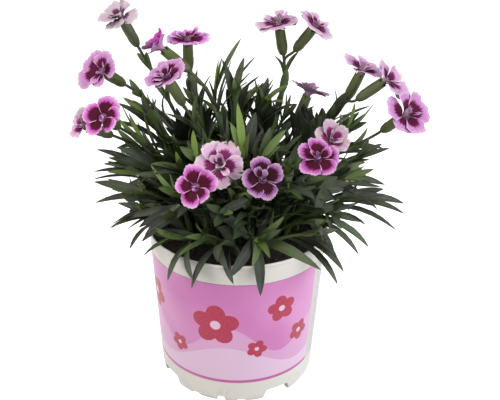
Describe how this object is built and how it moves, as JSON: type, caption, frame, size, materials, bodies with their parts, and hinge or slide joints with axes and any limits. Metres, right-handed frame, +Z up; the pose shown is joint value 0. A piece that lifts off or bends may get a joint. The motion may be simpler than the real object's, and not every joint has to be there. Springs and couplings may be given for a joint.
{
  "type": "potted flowering plant",
  "caption": "Potted garden pink: a tuft of narrow leaves and fringed flowers on thin stems, growing in a tapered round plastic nursery pot with a printed label band.",
  "frame": {"origin": "middle of the pot's foot, on the ground plane", "axes": "+Z up along the pot's axis, -Y towards the front, +X to the right as seen from the front"},
  "size_m": [0.2206, 0.1902, 0.2533],
  "materials": {
    "pot_plastic": "semi-gloss moulded plastic",
    "label_film": "printed film, semi-gloss",
    "peat": "loose, matte",
    "stem": "smooth living stem with a waxy bloom",
    "leaf": "smooth living leaf with a waxy bloom",
    "petal": "soft matte petal"
  },
  "bodies": {
    "root": {"pot": "pot_plastic", "label_band": "label_film", "soil": "peat", "flower_stem_01": "stem", "flower_stem_02": "stem", "flower_stem_03": "stem", "flower_stem_04": "stem", "flower_stem_05": "stem", "flower_stem_06": "stem", "flower_stem_07": "stem", "flower_stem_08": "stem", "flower_stem_09": "stem", "flower_stem_10": "stem", "flower_stem_11": "stem", "flower_stem_12": "stem", "flower_stem_13": "stem", "flower_stem_14": "stem", "flower_stem_15": "stem", "flower_stem_16": "stem", "leafy_shoot_01": "leaf", "leafy_shoot_02": "leaf", "leafy_shoot_03": "leaf", "leafy_shoot_04": "leaf", "leafy_shoot_05": "leaf", "leafy_shoot_06": "leaf", "leafy_shoot_07": "leaf", "leafy_shoot_08": "leaf", "leafy_shoot_09": "leaf", "leafy_shoot_10": "leaf", "leafy_shoot_11": "leaf", "leafy_shoot_12": "leaf", "leafy_shoot_13": "leaf", "leafy_shoot_14": "leaf", "leafy_shoot_15": "leaf", "leafy_shoot_16": "leaf", "leafy_shoot_17": "leaf", "leafy_shoot_18": "leaf", "leafy_shoot_19": "leaf", "leafy_shoot_20": "leaf", "leafy_shoot_21": "leaf", "leafy_shoot_22": "leaf", "flower_01": "petal", "flower_02": "petal", "flower_03": "petal", "flower_04": "petal", "flower_05": "petal", "flower_06": "petal", "flower_07": "petal", "flower_08": "petal", "flower_09": "petal", "flower_10": "petal", "flower_11": "petal", "flower_12": "petal", "flower_13": "petal", "flower_14": "petal", "flower_15": "petal", "flower_16": "petal", "flower_17": "petal", "flower_18": "petal"}
  },
  "joints": []
}
